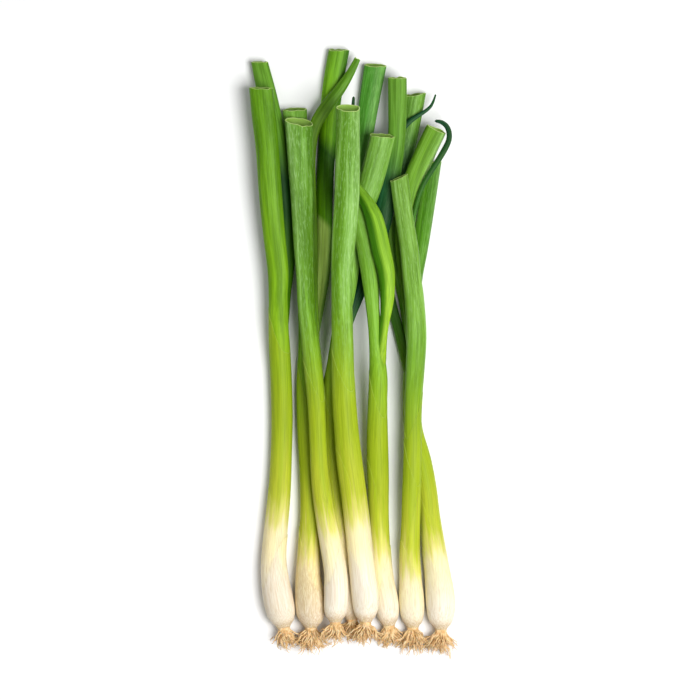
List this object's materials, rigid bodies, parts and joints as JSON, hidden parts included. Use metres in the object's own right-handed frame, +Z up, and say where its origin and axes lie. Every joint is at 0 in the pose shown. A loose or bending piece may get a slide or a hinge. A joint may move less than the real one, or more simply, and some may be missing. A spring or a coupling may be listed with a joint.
{
  "type": "spring onion bunch",
  "caption": "Bunch of trimmed spring onions lying flat: rootlets, white bulbs and shanks, and forked hollow green leaves, most with open cut ends.",
  "frame": {"origin": "On the table, under the middle of the bunch's outline seen from above.", "axes": "+Z is up from the table that the bunch lies on, +Y runs along it from the roots to the cut leaf ends, and +X is to the right with the leaf ends away."},
  "size_m": [0.1124, 0.335, 0.0433],
  "materials": {
    "root": "matte",
    "shank": "satin",
    "leaf": "satin"
  },
  "bodies": {
    "root": {"roots_1": "root", "roots_2": "root", "roots_3": "root", "roots_4": "root", "roots_5": "root", "roots_6": "root", "roots_7": "root", "roots_8": "root", "shank_1": "shank", "shank_2": "shank", "shank_3": "shank", "shank_4": "shank", "shank_5": "shank", "shank_6": "shank", "shank_7": "shank", "shank_8": "shank", "leaves_1": "leaf", "leaves_2": "leaf", "leaves_3": "leaf", "leaves_4": "leaf", "leaves_5": "leaf", "leaves_6": "leaf", "leaves_7": "leaf", "leaves_8": "leaf"}
  },
  "joints": []
}
